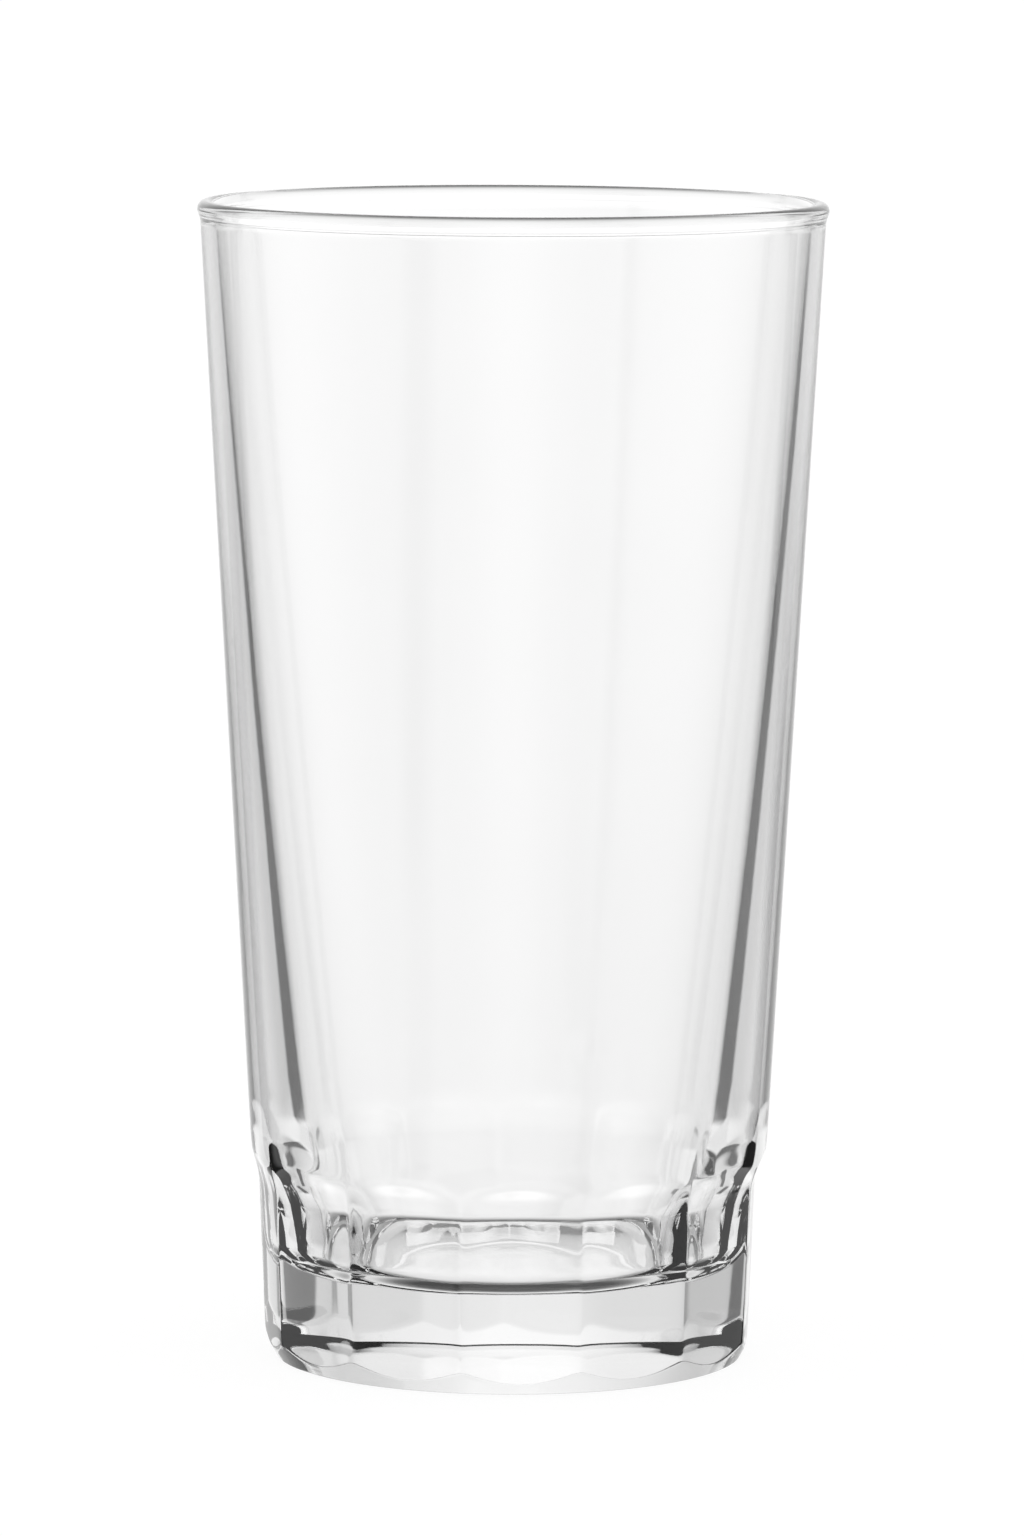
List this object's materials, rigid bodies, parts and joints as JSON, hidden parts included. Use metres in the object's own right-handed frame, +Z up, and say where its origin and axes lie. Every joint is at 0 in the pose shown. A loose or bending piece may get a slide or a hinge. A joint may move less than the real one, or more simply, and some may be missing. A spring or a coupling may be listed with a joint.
{
  "type": "pint glass",
  "caption": "Tall flared drinking glass holding a pint, clear and pressed in one piece, with a heavy base, flat panels round the foot and a rounded lip.",
  "frame": {"origin": "middle of the surface the glass stands on, on its axis", "axes": "+Z up the axis to the rim; -Y through the middle of one of the panels of the foot"},
  "size_m": [0.0826, 0.0826, 0.1524],
  "materials": {
    "clear_glass": "clear pressed and fire-polished"
  },
  "bodies": {
    "root": {"glass_tumbler": "clear_glass"}
  },
  "joints": []
}
